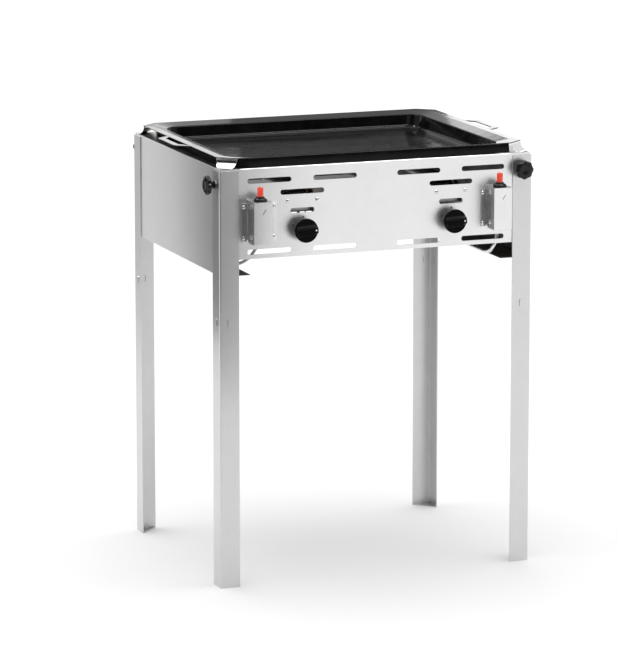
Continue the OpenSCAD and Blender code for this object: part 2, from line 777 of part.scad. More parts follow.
// The supply tube, the cross tube between the taps and a short riser to each injector
module gas_tubes() {
    tap_side = burner_x + 17;
    color([0.86, 0.87, 0.88]) {
        sweep(smooth([
            [inlet[0], 246, inlet[1]], [inlet[0], 120, inlet[1]], [inlet[0], -60, inlet[1]],
            [inlet[0], -180, inlet[1]], [inlet[0], -208, inlet[1] + 0.5], [251, -226, inlet[1] + 5],
            [255, -237, inlet[1] + 16], [260, -240, inlet[1] + 32], [261, -240, inlet[1] + 52],
            [254, -237, inlet[1] + 67], [238, -229, inlet[1] + 75.5], [218, -225.5, tap_z],
            [195, -225, tap_z], [tap_side, -225, tap_z]], 4), tube_r, 12);
        translate([34 - tap_side, -225, tap_z]) rotate([0, 90, 0])
            cylinder(h = 2 * tap_side - 68, r = tube_r);
        for (s = [-1, 1]) translate([s * burner_x, outlet_y, tap_z + 13])
            cylinder(h = burner_z - 2 - tap_z - 13, r = 3);
    }
}

module tube_nuts() {
    color(brass) {
        for (x = [burner_x + 24, burner_x - 34, -burner_x + 24])
            translate([x, -225, tap_z]) rotate([0, 90, 0]) hex_nut(14, 10, tube_r + 0.3);
        for (s = [-1, 1]) translate([s * burner_x, outlet_y, tap_z + 18]) hex_nut(11, 8, 3.1);
        translate([inlet[0], wall_y - panel_t, inlet[1]]) rotate([90, 0, 0]) hex_nut(17, 5, 6 + slack);
    }
}

// A hexagonal nut along +Z
module hex_nut(af, h, r) {
    difference() {
        cylinder(h = h, r = af / sqrt(3), $fn = 6);
        translate([0, 0, -1]) cylinder(h = h + 2, r = r);
    }
}

// The fitting through its bracket, with a plain hose tail
module gas_inlet() {
    seat = wall_y;
    color(brass) translate([inlet[0], 0, inlet[1]]) difference() {
        union() {
            rod_y(6, 240, seat);
            hex_y(17, seat, seat + 10);
            rod_y(5, seat + 10, reach_y - 5);
            rod_y(5, reach_y - 5, reach_y, 4.2);
        }
        rod_y(tube_r + 0.3, 239, 247);
        rod_y(3, 246, reach_y + 1);
    }
}

module inlet_bracket() {
    color(steel) difference() {
        translate([inlet[0] - 20, wall_y - panel_t, inlet[1] - 14]) cube([30, panel_t, 47]);
        translate([inlet[0], 0, inlet[1]]) rod_y(6.1, wall_y - panel_t - 1, wall_y + 1);
    }
}

// ---------------------------------------------------------------- nodes

leg(0);  // leg_front_left
leg(1);  // leg_front_right
leg(2);  // leg_rear_right
leg(3);  // leg_rear_left
foot_plates();
side_panel(-1);  // side_panel_left
side_panel(1);  // side_panel_right
front_panel();
rear_panel();
weld_nuts();
star_knob(0);  // star_knob_front_left
star_knob(1);  // star_knob_front_right
star_knob(2);  // star_knob_rear_right
star_knob(3);  // star_knob_rear_left
stud(0);  // stud_front_left
stud(1);  // stud_front_right
stud(2);  // stud_rear_right
stud(3);  // stud_rear_left
washer(0);  // washer_front_left
washer(1);  // washer_front_right
washer(2);  // washer_rear_right
washer(3);  // washer_rear_left
pan();
pan_feet();
gas_knob(0);  // gas_knob_left
gas_knob(1);  // gas_knob_right
knob_mark(0);  // knob_mark_left
knob_mark(1);  // knob_mark_right
spindle(0);  // spindle_left
spindle(1);  // spindle_right
tap_spring(0);  // tap_spring_left
tap_spring(1);  // tap_spring_right
tap_plug(0);  // tap_plug_left
tap_plug(1);  // tap_plug_right
tap_body(0);  // tap_body_left
tap_body(1);  // tap_body_right
tap_nuts();
burner(0);  // burner_left
burner(1);  // burner_right
burner_bracket(0);  // burner_bracket_left
burner_bracket(1);  // burner_bracket_right
burner_rest();
bracket_screws();
injector(0);  // injector_left
injector(1);  // injector_right
igniter_box(0);  // igniter_box_left
igniter_box(1);  // igniter_box_right
box_screws();
igniter_body(0);  // igniter_body_left
igniter_body(1);  // igniter_body_right
igniter_collars();
igniter_button(0);  // igniter_button_left
igniter_button(1);  // igniter_button_right
electrodes();
ignition_leads();
thermocouples();
gas_tubes();
tube_nuts();
gas_inlet();
inlet_bracket();
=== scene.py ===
import math

import bpy
from mathutils import Matrix, Vector


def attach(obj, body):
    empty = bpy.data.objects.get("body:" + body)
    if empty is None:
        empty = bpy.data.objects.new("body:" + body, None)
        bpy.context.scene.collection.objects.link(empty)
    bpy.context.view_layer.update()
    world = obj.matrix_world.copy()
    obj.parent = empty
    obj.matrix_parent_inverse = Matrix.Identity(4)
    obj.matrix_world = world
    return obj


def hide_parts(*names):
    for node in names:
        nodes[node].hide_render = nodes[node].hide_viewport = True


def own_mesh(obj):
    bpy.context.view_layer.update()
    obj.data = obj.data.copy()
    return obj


# Portable gas grill: a steel frame on four legs with an enamelled pan.
# Millimetres in the tables below, metres in every mesh.

MM = 0.001
CORNERS = ("front_left", "front_right", "rear_right", "rear_left")
SIDES = ("left", "right")
SIGNS = (-1, 1)                       # of X, for the left and the right side

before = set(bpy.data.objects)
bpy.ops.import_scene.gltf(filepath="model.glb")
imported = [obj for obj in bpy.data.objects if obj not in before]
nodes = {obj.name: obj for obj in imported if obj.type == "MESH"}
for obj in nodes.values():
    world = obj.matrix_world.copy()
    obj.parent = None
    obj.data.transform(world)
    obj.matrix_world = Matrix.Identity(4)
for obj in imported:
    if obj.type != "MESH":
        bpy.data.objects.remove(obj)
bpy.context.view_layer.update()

# ---------------------------------------------------------------- camera

CAMERA_PLACE = (-2.9937, -7.8763, 2.1052)
CAMERA_PITCH = 0.1954
CAMERA_YAW = 0.3583
CAMERA_LENS = 231.65

camera_data = bpy.data.cameras.new("camera")
camera_data.lens = CAMERA_LENS
camera_data.sensor_width = 36
camera = bpy.data.objects.new("camera", camera_data)
camera.location = CAMERA_PLACE
camera.rotation_euler = (math.pi / 2 - CAMERA_PITCH, 0, -CAMERA_YAW)
bpy.context.scene.collection.objects.link(camera)
bpy.context.scene.camera = camera

# ---------------------------------------------------------------- materials


class Finish:
    """A Principled material whose colour, roughness and bump come from noise in the object's own metres."""

    def __init__(self, name, metallic=0.0, **sockets):
        self.material = bpy.data.materials.new(name)
        self.material.use_nodes = True
        self.tree = self.material.node_tree
        self.shader = self.tree.nodes["Principled BSDF"]
        self.shader.inputs["Metallic"].default_value = metallic
        for socket, value in sockets.items():
            self.shader.inputs[socket.replace("_", " ")].default_value = value
        self.place = self.tree.nodes.new("ShaderNodeTexCoord").outputs["Object"]
        self.normal = None

    def noise(self, scale, stretch=(1, 1, 1), detail=3.0, roughness=0.55):
        """Noise of that many cells a metre, stretched along the axes with a low number."""
        mapping = self.tree.nodes.new("ShaderNodeMapping")
        mapping.inputs["Scale"].default_value = [scale * s for s in stretch]
        self.tree.links.new(self.place, mapping.inputs["Vector"])
        node = self.tree.nodes.new("ShaderNodeTexNoise")
        node.inputs["Scale"].default_value = 1.0
        node.inputs["Detail"].default_value = detail
        node.inputs["Roughness"].default_value = roughness
        self.tree.links.new(mapping.outputs["Vector"], node.inputs["Vector"])
        return node.outputs["Fac"]

    def cells(self, scale):
        """Distance to the nearest of scattered points, that many a metre."""
        node = self.tree.nodes.new("ShaderNodeTexVoronoi")
        node.inputs["Scale"].default_value = scale
        self.tree.links.new(self.place, node.inputs["Vector"])
        return node.outputs["Distance"]

    def remap(self, value, low, high, start=0.3, end=0.7):
        node = self.tree.nodes.new("ShaderNodeMapRange")
        node.inputs["From Min"].default_value = start
        node.inputs["From Max"].default_value = end
        node.inputs["To Min"].default_value = low
        node.inputs["To Max"].default_value = high
        self.tree.links.new(value, node.inputs["Value"])
        return node.outputs["Result"]

    def blend(self, factor, first, second):
        """Mix of two colours, or of one colour and another output."""
        node = self.tree.nodes.new("ShaderNodeMix")
        node.data_type = "RGBA"
        for value, socket in ((factor, node.inputs[0]), (first, node.inputs[6]), (second, node.inputs[7])):
            if isinstance(value, tuple):
                socket.default_value = (*value, 1)
            else:
                self.tree.links.new(value, socket)
        return node.outputs[2]

    def add(self, first, second, operation="ADD"):
        node = self.tree.nodes.new("ShaderNodeMath")
        node.operation = operation
        for value, socket in ((first, node.inputs[0]), (second, node.inputs[1])):
            if isinstance(value, (int, float)):
                socket.default_value = value
            else:
                self.tree.links.new(value, socket)
        return node.outputs["Value"]

    def color(self, value):
        self.tree.links.new(value, self.shader.inputs["Base Color"])

    def rough(self, value):
        self.tree.links.new(value, self.shader.inputs["Roughness"])

    def bump(self, height, depth, strength=1.0):
        """Adds a bump of that depth in metres on top of the bumps before it."""
        node = self.tree.nodes.new("ShaderNodeBump")
        node.inputs["Distance"].default_value = depth
        node.inputs["Strength"].default_value = strength
        self.tree.links.new(height, node.inputs["Height"])
        if self.normal is not None:
            self.tree.links.new(self.normal, node.inputs["Normal"])
        self.normal = node.outputs["Normal"]
        self.tree.links.new(self.normal, self.shader.inputs["Normal"])

    def edges(self, radius):
        """0 on flat faces, rising to 1 on edges that are worn."""
        bevel = self.tree.nodes.new("ShaderNodeBevel")
        bevel.samples = 4
        bevel.inputs["Radius"].default_value = radius
        plain = self.tree.nodes.new("ShaderNodeNewGeometry")
        dot = self.tree.nodes.new("ShaderNodeVectorMath")
        dot.operation = "DOT_PRODUCT"
        self.tree.links.new(bevel.outputs["Normal"], dot.inputs[0])
        self.tree.links.new(plain.outputs["Normal"], dot.inputs[1])
        return self.remap(dot.outputs["Value"], 1.0, 0.0, 0.9, 0.995)


def brushed(name, stretch, light=0.86, dark=0.82, base=0.38, inside=None):
    """Sheet steel with a fine grain and faint smudges. inside is an axis and a distance from the middle,
    within which the sheet is darkened with painted shade for the inside of the frame."""
    f = Finish(name, metallic=1.0)
    grain = f.noise(2600, stretch, detail=4)
    smudge = f.noise(7, detail=5)
    sheet = f.blend(f.remap(grain, 0, 1), (dark, dark, dark * 1.005), (light, light, light * 1.005))
    stain = f.remap(f.noise(38, detail=6, roughness=0.7), 0, 0.05, 0.42, 0.66)
    sheet = f.blend(stain, sheet, (dark * 0.6, dark * 0.6, dark * 0.6))
    rough = f.add(f.remap(grain, base - 0.03, base + 0.03), f.remap(smudge, -0.015, 0.025))
    # painted shade: the sheet nearer the middle than inside, its face turned into the frame, is darkened to a
    # mottled brown in place of the shade there
    if inside:
        split = f.tree.nodes.new("ShaderNodeSeparateXYZ")
        f.tree.links.new(f.place, split.inputs["Vector"])
        away = f.add(split.outputs[inside[0]], 0.0, "ABSOLUTE")
        painted_inner_shade = f.add(f.remap(away, 1.0, 0.0, inside[1] - 0.0002, inside[1] + 0.0002),
                     f.remap(f.noise(22, detail=5), 0.82, 1.0), "MULTIPLY")
        sheet = f.blend(painted_inner_shade, sheet, (0.13, 0.12, 0.11))
    f.color(sheet)
    f.rough(rough)
    f.bump(grain, 0.00002, 0.3)
    f.bump(f.noise(4, detail=1), 0.001, 0.1)
    return f.material


def coated(name, color, lighter, rough, grain_depth, **sockets):
    """A moulded or enamelled surface: slight mottling, fine texture and paler worn edges."""
    f = Finish(name, **sockets)
    mottle = f.noise(60, detail=5)
    fine = f.noise(1800, detail=2)
    worn = f.add(f.edges(0.0006), f.remap(f.noise(400, detail=4), 0, 1, 0.45, 0.7), "MULTIPLY")
    f.color(f.blend(worn, f.blend(f.remap(mottle, 0, 1), color, lighter),
                    tuple(min(1.0, c * 2.2 + 0.008) for c in lighter)))
    f.rough(f.add(f.remap(mottle, rough - 0.04, rough + 0.05), f.remap(fine, -0.02, 0.02)))
    f.bump(fine, grain_depth, 0.5)
    return f.material


def cast(name, light, dark, rough):
    """Turned or plated metal: patches of tarnish and a fine uneven skin."""
    f = Finish(name, metallic=1.0)
    patch = f.noise(140, detail=6)
    fine = f.noise(3000, detail=2)
    f.color(f.blend(f.remap(patch, 0, 1, 0.35, 0.65), dark, light))
    f.rough(f.remap(patch, rough + 0.1, rough - 0.06))
    f.bump(fine, 0.00004, 0.4)
    return f.material


def enamel():
    f = Finish("black_enamel", Specular_IOR_Level=0.14)
    mottle = f.noise(35, detail=5)
    peel = f.noise(420, detail=1)
    f.color(f.blend(f.remap(mottle, 0, 1), (0.002, 0.002, 0.0023), (0.005, 0.005, 0.0055)))
    f.rough(f.add(f.remap(mottle, 0.10, 0.16), f.remap(f.cells(900), 0.02, 0.0, 0.0, 0.5)))
    f.bump(peel, 0.00006, 0.35)
    f.bump(f.noise(14, (1, 1.6, 1), detail=1), 0.0008, 0.5)
    return f.material


def woven_sleeve():
    """Braided glass sleeve of an ignition lead."""
    f = Finish("braided_sleeve", Sheen_Weight=0.25)
    wave = f.tree.nodes.new("ShaderNodeTexWave")
    wave.inputs["Scale"].default_value = 260
    wave.inputs["Distortion"].default_value = 2.0
    f.tree.links.new(f.place, wave.inputs["Vector"])
    thread = wave.outputs["Fac"]
    f.color(f.blend(thread, (0.30, 0.30, 0.31), (0.62, 0.62, 0.62)))
    f.rough(f.remap(thread, 0.75, 0.6))
    f.bump(thread, 0.0003, 0.6)
    return f.material


def heat_tint_and_shade_steel():
    """Burner tube: plain steel browned towards straw and blue by heat, and kept dark as painted shade for the inside
    of the frame.
    """
    f = Finish("burner_tube_steel", metallic=1.0)
    heat = f.noise(16, detail=4)
    grain = f.noise(900, detail=3)
    # real heat tint, with its tones darkened further as painted shade inside the frame
    warm = f.blend(f.remap(heat, 0, 1, 0.4, 0.62), (0.20, 0.19, 0.185), (0.15, 0.115, 0.08))
    f.color(f.blend(f.remap(grain, 0, 0.5), warm, (0.075, 0.07, 0.08)))
    f.rough(f.remap(heat, 0.28, 0.45))
    f.bump(grain, 0.00005, 0.4)
    return f.material


MATERIALS = {
    "leg_steel": brushed("leg_steel_upright_grain", (1, 1, 0.012), 0.69, 0.64, 0.34),
    "box_steel": brushed("box_steel_upright_grain", (1, 1, 0.012), 0.80, 0.75, 0.24),
    "panel_steel": brushed("panel_steel_cross_grain", (0.012, 1, 1), base=0.34, inside=("Y", 0.2572)),
    "side_steel": brushed("side_steel_cross_grain", (1, 0.012, 1), base=0.34, inside=("X", 0.3222)),
    # painted shade: the brackets and rests inside the frame get a far darker steel tone than the panels, in place of
    # the shade there
    "inner_steel": brushed("bracket_steel_painted_shade", (0.012, 1, 1), 0.42, 0.34, 0.35),
    "zinc_steel": cast("zinc_plated_steel", (0.82, 0.83, 0.84), (0.66, 0.67, 0.69), 0.18),
    "foot_steel": cast("polished_spring_steel", (0.88, 0.88, 0.89), (0.80, 0.80, 0.81), 0.05),
    "screw_steel": cast("bright_screw_steel", (0.78, 0.78, 0.79), (0.60, 0.60, 0.61), 0.14),
    "washer_steel": cast("darkened_washer_steel", (0.26, 0.26, 0.27), (0.18, 0.18, 0.19), 0.25),
    "burner_steel": heat_tint_and_shade_steel(),
    "enamel": enamel(),
    "black_plastic": coated("glossy_black_plastic", (0.001, 0.001, 0.001), (0.002, 0.002, 0.002), 0.12, 0.00002,
                            Specular_IOR_Level=0.05),
    "matt_plastic": coated("matt_black_plastic", (0.004, 0.004, 0.004), (0.008, 0.008, 0.008), 0.27, 0.00004,
                           Specular_IOR_Level=0.25),
    "star_plastic": coated("star_knob_plastic", (0.006, 0.006, 0.006), (0.010, 0.010, 0.010), 0.20, 0.00004,
                           Specular_IOR_Level=0.25),
    "orange_plastic": coated("red_orange_plastic", (0.76, 0.045, 0.018), (0.84, 0.065, 0.026), 0.28, 0.00003,
                             Subsurface_Weight=0.05),
    "white_mark": coated("white_filled_mark", (0.80, 0.80, 0.79), (0.88, 0.88, 0.87), 0.4, 0.00003),
    "mark_paint": coated("dark_printed_mark", (0.03, 0.03, 0.032), (0.06, 0.06, 0.062), 0.5, 0.00003),
    "ceramic": coated("glazed_ceramic", (0.74, 0.72, 0.68), (0.82, 0.80, 0.77), 0.22, 0.00003),
    "lead_sleeve": woven_sleeve(),
    "copper": cast("copper_line", (0.80, 0.42, 0.28), (0.55, 0.27, 0.18), 0.25),
    "brass": cast("turned_brass", (0.80, 0.62, 0.30), (0.62, 0.45, 0.20), 0.24),
    "aluminium": cast("drawn_aluminium_tube", (0.84, 0.85, 0.86), (0.74, 0.75, 0.76), 0.24),
}

# Which finish each CAD node shows, by the start of its name, and the width of its rounded edges in mm
NODE_FINISH = {
    "leg_": ("leg_steel", 0.4), "foot_plates": ("leg_steel", 0.3),
    "side_panel": ("side_steel", 0.3), "front_panel": ("panel_steel", 0.25), "rear_panel": ("panel_steel", 0.25),
    "burner_rest": ("inner_steel", 0.3), "burner_bracket": ("inner_steel", 0.3), "inlet_bracket": ("box_steel", 0.3),
    "igniter_box": ("box_steel", 0.35), "weld_nuts": ("zinc_steel", 0.3), "washer": ("washer_steel", 0.2),
    "stud": ("zinc_steel", 0.4), "spindle": ("zinc_steel", 0.2),
    "tap_plug": ("brass", 0.2), "tap_body": ("brass", 0.3), "tap_nuts": ("brass", 0.4), "tube_nuts": ("brass", 0.4),
    "injector": ("brass", 0.3), "gas_inlet": ("brass", 0.3), "knob_mark": ("white_mark", 0.15),
    "igniter_body": ("matt_plastic", 0.3), "electrodes": ("ceramic", 0.2),
}

# ---------------------------------------------------------------- mesh tools


def link(name, data):
    """A new object in the scene with that mesh or light."""
    piece = bpy.data.objects.new(name, data)
    bpy.context.scene.collection.objects.link(piece)
    return piece


def make(name, shape, body, finish, replaces=()):
    """A new piece from a shape in mm, riding on a body."""
    mesh = bpy.data.meshes.new(name)
    mesh.from_pydata([Vector(p) * MM for p in shape.points], [], shape.faces)
    mesh.validate()
    mesh.polygons.foreach_set("use_smooth", [True] * len(mesh.polygons))
    mesh.materials.append(MATERIALS[finish])
    piece = link(name, mesh)
    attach(piece, body)
    if replaces:
        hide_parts(*replaces)
    return piece


def weld(piece):
    """Joins points that lie within a hundredth of a millimetre."""
    piece.modifiers.new("weld", "WELD").merge_threshold = 0.00001


def even_normals(piece):
    piece.modifiers.new("normals", "WEIGHTED_NORMAL").keep_sharp = True


def soften(piece, width):
    """Rounds a piece's sharp edges to that width in mm, if any, and evens its normals."""
    weld(piece)
    if width:
        bevel = piece.modifiers.new("bevel", "BEVEL")
        bevel.width = width * MM
        bevel.segments = 2
        bevel.limit_method = "ANGLE"
        bevel.angle_limit = math.radians(35)
    even_normals(piece)


def ring_angles(n):
    """Even angles right round, in radians."""
    return [2 * math.pi * k / n for k in range(n)]


class Shape:
    """Points and faces of several closed shells in one piece."""

    def __init__(self):
        self.points = []
        self.faces = []

    def add(self, points, faces):
        start = len(self.points)
        self.points += [tuple(p) for p in points]
        self.faces += [tuple(start + i for i in face) for face in faces]

    def loft(self, rings):
        """A capped shell through rings with the same number of points."""
        n = len(rings[0])
        faces = []
        for i in range(len(rings) - 1):
            for k in range(n):
                a, b = i * n + k, i * n + (k + 1) % n
                faces.append((a, b, b + n, a + n))
        faces.append(tuple(range(n - 1, -1, -1)))
        faces.append(tuple((len(rings) - 1) * n + k for k in range(n)))
        self.add([p for ring in rings for p in ring], faces)

    def turn(self, profile, place, sides=48, radius_of=None):
        """A turned shell. profile is (radius, height); place puts (x, y, height) in the frame, and radius_of
        changes a radius by its angle."""
        rings = []
        for radius, height in profile:
            ring = []
            for angle in ring_angles(sides):
                r = radius_of(radius, angle) if radius_of else radius
                ring.append(place(r * math.cos(angle), r * math.sin(angle), height))
            rings.append(ring)
        self.loft(rings)

    def sweep(self, path, radius, sides=14):
        """A round tube along points, with a radius or one radius a point."""
        path = [Vector(p) for p in path]
        last = len(path) - 1
        way = [(path[min(i + 1, last)] - path[max(i - 1, 0)]).normalized() for i in range(last + 1)]
        side = way[0].orthogonal().normalized()
        rings = []
        for i, point in enumerate(path):
            side = (side - way[i] * side.dot(way[i])).normalized()
            other = way[i].cross(side)
            r = radius[i] if isinstance(radius, (list, tuple)) else radius
            rings.append([point + r * (math.cos(a) * side + math.sin(a) * other) for a in ring_angles(sides)])
        self.loft(rings)


def smooth_path(points, steps=6):
    """A Catmull-Rom curve through points."""
    points = [Vector(p) for p in points]
    out = []
    for i in range(len(points) - 1):
        a, b = points[max(i - 1, 0)], points[i]
        c, d = points[i + 1], points[min(i + 2, len(points) - 1)]
        for j in range(steps):
            t = j / steps
            out.append(0.5 * (2 * b + (c - a) * t + (2 * a - 5 * b + 4 * c - d) * t * t
                              + (3 * b - a - 3 * c + d) * t ** 3))
    return out + [points[-1]]


def fillet(points, radii, steps=6):
    """A flat line with its inner corners rounded to those radii."""
    out = [points[0]]
    for i in range(1, len(points) - 1):
        here = Vector(points[i])
        back = (Vector(points[i - 1]) - here).normalized()
        on = (Vector(points[i + 1]) - here).normalized()
        half = math.acos(max(-1, min(1, back.dot(on)))) / 2
        reach = radii[i - 1] / math.tan(half)
        start, end = here + back * reach, here + on * reach
        centre = here + (back + on).normalized() * (radii[i - 1] / math.sin(half))
        a, b = start - centre, end - centre
        turn = a.angle(b)
        for k in range(steps + 1):
            t = k / steps
            out.append(tuple(centre + (math.sin((1 - t) * turn) * a + math.sin(t * turn) * b) / math.sin(turn)))
    return out + [points[-1]]


def offset(line, distance):
    """A flat line moved sideways."""
    out = []
    for i, point in enumerate(line):
        a, b = line[max(i - 1, 0)], line[min(i + 1, len(line) - 1)]
        along = (Vector(b) - Vector(a)).normalized()
        out.append((point[0] - along[1] * distance, point[1] + along[0] * distance))
    return out


# ---------------------------------------------------------------- pan

PAN_W, PAN_B, PAN_TOP, PAN_FLOOR = 317.0, 248.5, 843.0, 808.0   # half sizes of the flange, and heights
PAN_SHEET = 2.0
FOLD_A, FOLD_B, FOLD_R = 277.0, 223.5, 38.0     # half sizes and corner of the fold between rim and wall
FLOOR_IN = 34.0                       # from that fold to the flat of the floor
CHAMFER = (33.0, 26.5)
DISH, DISH_Y, DISH_L = 4.0, 50.0, 180.0         # depth of the floor's hollow, its middle and half length
DISH_REACH = (262, 215)               # where the hollow has died away
ARC, RUN = 12, 26                     # points in a corner and along a side
FLOOR_SCALES = (0.98, 0.95, 0.91, 0.86, 0.8, 0.74, 0.68, 0.61, 0.54, 0.47, 0.4, 0.33, 0.26, 0.19, 0.12, 0.05)


def rounded_ring(a, b, r, z, lift=None):
    """Rounded rectangle with even points along its sides; lift adds height by place."""
    ring = []
    for q in range(4):
        sx = 1 if q in (0, 3) else -1
        sy = 1 if q < 2 else -1
        for j in range(ARC + 1):
            t = math.radians(90 * q + 90 * j / ARC)
            ring.append((sx * (a - r) + r * math.cos(t), sy * (b - r) + r * math.sin(t)))
        nx = 1 if (q + 1) % 4 in (0, 3) else -1
        ny = 1 if (q + 1) % 4 < 2 else -1
        t = math.radians(90 * (q + 1))
        end = (nx * (a - r) + r * math.cos(t), ny * (b - r) + r * math.sin(t))
        start = ring[-1]
        ring += [(start[0] + (end[0] - start[0]) * k / RUN, start[1] + (end[1] - start[1]) * k / RUN)
                 for k in range(1, RUN)]
    return [(x, y, z + (lift(x, y) if lift else 0)) for x, y in ring]


def cut_ring(a, b, cut, z):
    """The flange's outline, with straight corner cuts, point for point with rounded_ring."""
    ring = []
    corners = [((a, b - cut[1]), (a - cut[0], b)), ((-a + cut[0], b), (-a, b - cut[1])),
               ((-a, -b + cut[1]), (-a + cut[0], -b)), ((a - cut[0], -b), (a, -b + cut[1]))]
    for q in range(4):
        (x0, y0), (x1, y1) = corners[q]
        ring += [(x0 + (x1 - x0) * j / ARC, y0 + (y1 - y0) * j / ARC) for j in range(ARC + 1)]
        x2, y2 = corners[(q + 1) % 4][0]
        ring += [(x1 + (x2 - x1) * k / RUN, y1 + (y2 - y1) * k / RUN) for k in range(1, RUN)]
    return [(x, y, z) for x, y in ring]


def dish(x, y):
    """The slight hollow of the pan's floor, with faint waves across it."""
    across = max(0.0, 1 - abs(x) / DISH_REACH[0]) ** 0.35
    along = 0.5 + 0.5 * math.cos(math.pi * max(-1.0, min(1.0, (y - DISH_Y) / DISH_L)))
    edge = max(0.0, 1 - (abs(y) / DISH_REACH[1]) ** 6)
    wave = 0.25 * math.sin(y / 13.0 + x / 160.0) + 0.15 * math.sin(x / 31.0)
    return across * edge * (-DISH * along + 0.6 * wave)


def corner_radius(o):
    """Of the pan's ring that lies o outside the fold."""
    return FOLD_R + (0.75 if o > 0 else 0.8) * o


def build_pan():
    shape = Shape()
    # the sheet's upper line, as (distance out from the fold, height), and its lower line
    top = fillet([(25, PAN_TOP), (24, PAN_TOP), (0, 837), (-8.5, PAN_FLOOR), (-FLOOR_IN, PAN_FLOOR)], [4, 3, 13], 5)
    under = offset(top, PAN_SHEET)

    def rings(line):
        return [rounded_ring(FOLD_A + o, FOLD_B + o, corner_radius(o), z) for o, z in line]

    def floor_rings(z):
        a, b, r = FOLD_A - FLOOR_IN, FOLD_B - FLOOR_IN, corner_radius(-FLOOR_IN)
        return [rounded_ring(a * s, b * s, r * s, z, lambda x, y: dish(x, y) * min(1.0, (1 - s) * 9))
                for s in FLOOR_SCALES]

    flange = [cut_ring(PAN_W - 0.4, PAN_B - 0.2, CHAMFER, 841.4), cut_ring(PAN_W, PAN_B, CHAMFER, 841.8),
              cut_ring(PAN_W, PAN_B, CHAMFER, 842.6), cut_ring(PAN_W - 0.4, PAN_B - 0.2, CHAMFER, PAN_TOP)]
    shape.loft(floor_rings(PAN_FLOOR - PAN_SHEET)[::-1] + rings(under)[::-1] + flange
               + rings(top) + floor_rings(PAN_FLOOR))
    # the skirts at the front and back, as (y, height) lines run along the side
    outer = fillet([(-246.8, 842.3), (-249.9, 843.3), (-252.5, 824.7)], [2.2], 6)
    section = outer + offset(outer, 1.5)[::-1]
    skirt, stations = 280, 28
    for turn in SIGNS[::-1]:
        shape.loft([[(turn * x, turn * y, min(z, PAN_TOP)) for y, z in section] for x in
                    [-skirt + 2 * skirt * i / stations for i in range(stations + 1)]])
        shape.loft(handle_sections(turn))
    even_normals(make("pan_basin", shape, "pan", "enamel", replaces=["pan"]))


def handle_sections(turn):
    """Stations along a handle's band, from one root to the other. The lines are (out from the flange, y)."""
    outer = fillet([(-1, -72.8), (27, -52), (27, 52), (-1, 72.8)], [16, 16], 8)
    inner = fillet([(-1, -60), (14, -39), (14, 39), (-1, 60)], [9, 9], 8)
    # round the band: the share of the way from outer to inner line, and the height
    edge = [(0, 841.5), (0, 842.5), (0.05, 843), (0.95, 843), (1, 842.5), (1, 841.5), (0.95, 841), (0.05, 841)]
    return [[(turn * (PAN_W + o[0] + (i[0] - o[0]) * u), turn * (o[1] + (i[1] - o[1]) * u), z)
             for u, z in edge] for o, i in zip(outer, inner)]


def build_feet():
    """The concave feet under the pan's corner cuts."""
    shape = Shape()
    drop, flare, sheet = 18.0, 18.0, 1.3
    wide, narrowing = 21.5, 5
    foot_x, foot_y, foot_top = 300.5, 236.0, 841.5
    way = math.atan2(33, 28)
    steps = 20
    for mx in SIGNS:
        for my in SIGNS:
            rings = []
            for across in [-1, -0.96, -0.5, 0, 0.5, 0.96, 1]:
                outer, inner = [], []
                for i in range(steps + 1):
                    t = math.radians(90 * i / steps)
                    half = wide - narrowing * i / steps
                    x, z = flare * (1 - math.cos(t)), -(drop - sheet) * math.sin(t)
                    outer.append((x, across * half, z))
                    inner.append((x - sheet * math.cos(t), across * half, z - sheet * math.sin(t)))
                rings.append([(mx * (foot_x + p[0] * math.cos(way) - p[1] * math.sin(way)),
                               my * (foot_y + p[0] * math.sin(way) + p[1] * math.cos(way)), foot_top + p[2])
                              for p in outer + inner[::-1]])
            shape.loft(rings if mx * my > 0 else rings[::-1])
    soften(make("pan_spring_feet", shape, "pan", "foot_steel", replaces=["pan_feet"]), 0.3)


# ---------------------------------------------------------------- knobs and buttons

HALF_W, HALF_D = 325, 260             # half sizes of the frame over the legs
STAR_IN, STAR_Z = 23, 792.0           # a star knob's axis, from the leg's edge and above the floor
STAR_R, TIP_R, NECK_R = 19.0, 18.7, 13    # of the head's full circle, its tips and the round part behind it
SCOOP_R, SCOOP_AWAY = 22, 39.4        # radius of the grips between the lobes, and how far out they lie


def clamp_place(i):
    """Puts a point of corner i's star knob, with its height pointing outwards."""
    sign_x, sign_y = (-1, 1, 1, -1)[i], (-1, -1, 1, 1)[i]
    turn = Matrix.Rotation(math.radians(90 * i), 4, "Z")

    def place(x, y, height):
        p = turn @ Vector((-height, STAR_IN + y, 0))
        return (sign_x * HALF_W + p.x, sign_y * HALF_D + p.y, STAR_Z + x)
    return place


def lobed(radius, angle):
    """The head's outline: eight lobes between scooped grips, with softened tips."""
    if radius <= NECK_R:
        return radius
    gap = angle % (math.pi / 4) - math.pi / 8
    scoop = SCOOP_AWAY * math.cos(gap) - math.sqrt(SCOOP_R ** 2 - (SCOOP_AWAY * math.sin(gap)) ** 2)
    return radius * min(TIP_R, scoop) / STAR_R


def build_star_knob(i):
    corner = CORNERS[i]
    shape = Shape()
    profile = [(0.2, 1.6), (6.4, 1.6), (7, 2.2), (7, 9.6), (10, 10.6), (12.4, 11.7), (13, 12.1), (17.4, 12.1),
               (18.6, 12.6), (19, 13.4), (19, 18.6), (18.7, 19.4), (15.9, 20.3), (12.6, 21.7), (11.9, 22),
               (6.6, 22), (5.9, 21.6), (0.2, 21.5)]
    shape.turn(profile, clamp_place(i), 96, lobed)
    make("star_head_" + corner, shape, "star_knob_" + corner, "star_plastic",
         replaces=["star_knob_" + corner])


KNOB_X, KNOB_Z = 154.5, 699.7
# half width of the grip at each distance in front of the middle: hollow flanks under a rounded crown
GRIP = [(11.6, 282.8), (11.4, 283.6), (9.6, 284.6), (7.9, 286), (6.6, 288), (6.0, 289.8), (5.6, 290.9),
        (5.0, 291.6), (4.2, 291.95), (3.2, 292)]


